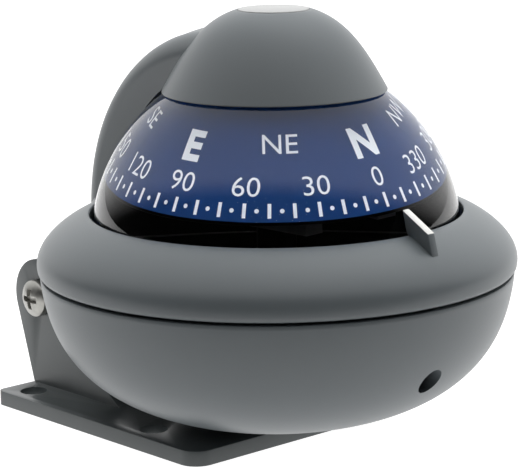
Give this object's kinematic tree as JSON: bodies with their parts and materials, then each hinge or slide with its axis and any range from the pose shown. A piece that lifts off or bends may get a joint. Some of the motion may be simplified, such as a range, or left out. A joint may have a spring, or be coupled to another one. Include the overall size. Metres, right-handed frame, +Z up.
{
  "type": "bracket-mount marine compass",
  "caption": "Small marine steering compass: clear dome over a conical dial, round case with a sun hood and lubber pointer, tilting on a flat screw-down bracket with ears.",
  "frame": {"origin": "centre of the screw-hole pattern on the underside of the bracket's base plate", "axes": "+Z up out of the base plate, the lubber pointer and the front of the case face -Y, +X completes the right-handed frame"},
  "size_m": [0.0694, 0.0811, 0.0626],
  "materials": {
    "bracket_grey": "moulded plastic, semi-gloss dark grey",
    "case_grey": "moulded plastic, fine satin mid grey",
    "pointer_grey": "moulded plastic, grey with a white top face",
    "pale_grey": "pale grey satin inlay",
    "clear_acrylic": "clear polished acrylic",
    "black_plastic": "moulded plastic, black",
    "white_plastic": "moulded plastic, white",
    "dial_blue": "moulded plastic, blue with white printed marks",
    "black_rubber": "black rubber",
    "stainless": "stainless steel",
    "brass": "turned brass",
    "aluminium": "stamped aluminium",
    "magnet_iron": "sintered magnet, dark grey",
    "jewel_red": "polished synthetic jewel",
    "lamp_clear": "clear lamp body"
  },
  "bodies": {
    "bracket": {"bracket": "bracket_grey"},
    "case": {"pivot_screws": "stainless", "friction_washers": "black_rubber", "pivot_inserts": "brass", "lower_case": "case_grey", "upper_case": "case_grey", "crown_disc": "pale_grey", "lubber_pointer": "pointer_grey", "dome": "clear_acrylic", "dome_seal": "black_rubber", "capsule_base": "black_plastic", "capsule_screws": "stainless", "diaphragm": "black_rubber", "diaphragm_ring": "aluminium", "filler_plug": "brass", "pivot_post": "black_plastic", "pivot_pin": "stainless", "compensator_frame": "black_plastic", "frame_screws": "stainless", "lamp": "lamp_clear", "lamp_holder": "white_plastic", "wire_grommet": "black_rubber"},
    "card": {"dial_card": "dial_blue", "card_hub": "black_plastic", "jewel": "jewel_red", "card_magnets": "magnet_iron"},
    "fore_aft_trim": {"fore_aft_compensator": "brass", "fore_aft_magnet": "magnet_iron"},
    "athwart_trim": {"athwart_compensator": "brass", "athwart_magnet": "magnet_iron"}
  },
  "joints": [
    {"name": "case_tilt", "type": "hinge", "parent": "bracket", "child": "case", "pos_m": [0, 0.017, 0.016], "axis": [-1, 0, 0], "range_deg": [0, 90]},
    {"name": "card_spin", "type": "hinge", "parent": "case", "child": "card", "pos_m": [0, -0.023, 0.0349], "axis": [0, 0, 1], "continuous": true},
    {"name": "fore_aft_turn", "type": "hinge", "parent": "case", "child": "fore_aft_trim", "pos_m": [0, -0.048, 0.0137], "axis": [0, -1, 0], "continuous": true},
    {"name": "athwart_turn", "type": "hinge", "parent": "case", "child": "athwart_trim", "pos_m": [0.025, -0.023, 0.0137], "axis": [1, 0, 0], "continuous": true}
  ]
}
